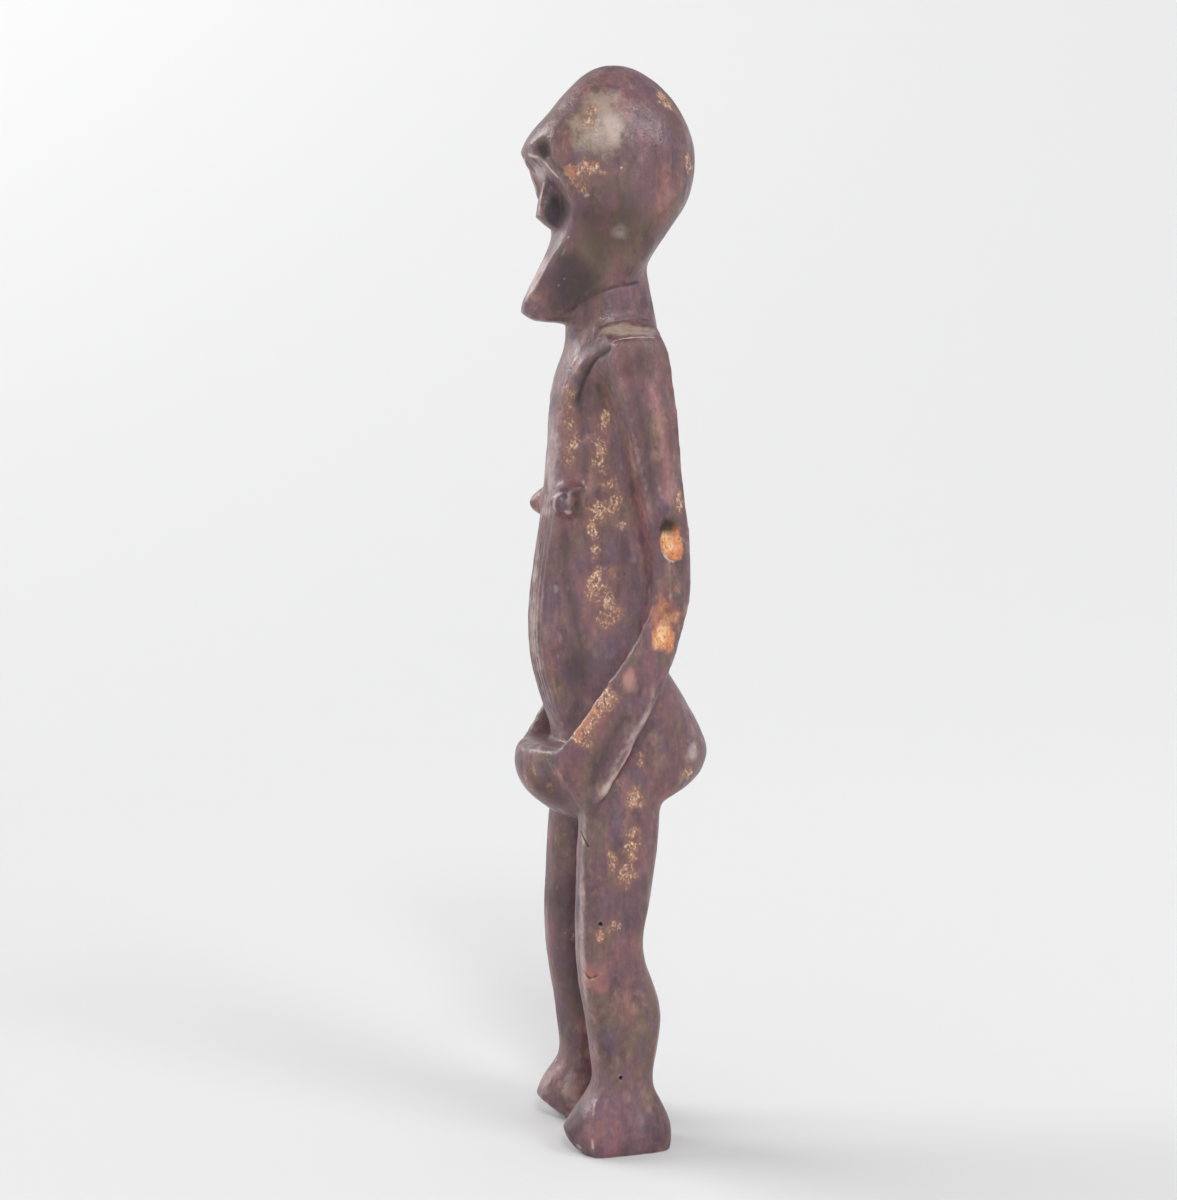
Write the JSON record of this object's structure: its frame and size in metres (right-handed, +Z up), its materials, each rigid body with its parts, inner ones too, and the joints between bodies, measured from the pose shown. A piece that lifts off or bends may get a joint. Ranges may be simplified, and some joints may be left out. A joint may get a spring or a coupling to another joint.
{
  "type": "carved wooden standing figure",
  "caption": "Standing figure carved from one block of dark wood, with a dished face, long arms whose hands meet in front, bent legs and flat-soled feet.",
  "frame": {"origin": "on the ground, under the middle of the bounding box", "axes": "+Z up, the figure faces -Y and its left hand is on +X"},
  "size_m": [0.0901, 0.0806, 0.45],
  "materials": {
    "wood": "satin, dark patina worn pale on edges and in chips"
  },
  "bodies": {
    "root": {"carved_figure": "wood"}
  },
  "joints": []
}
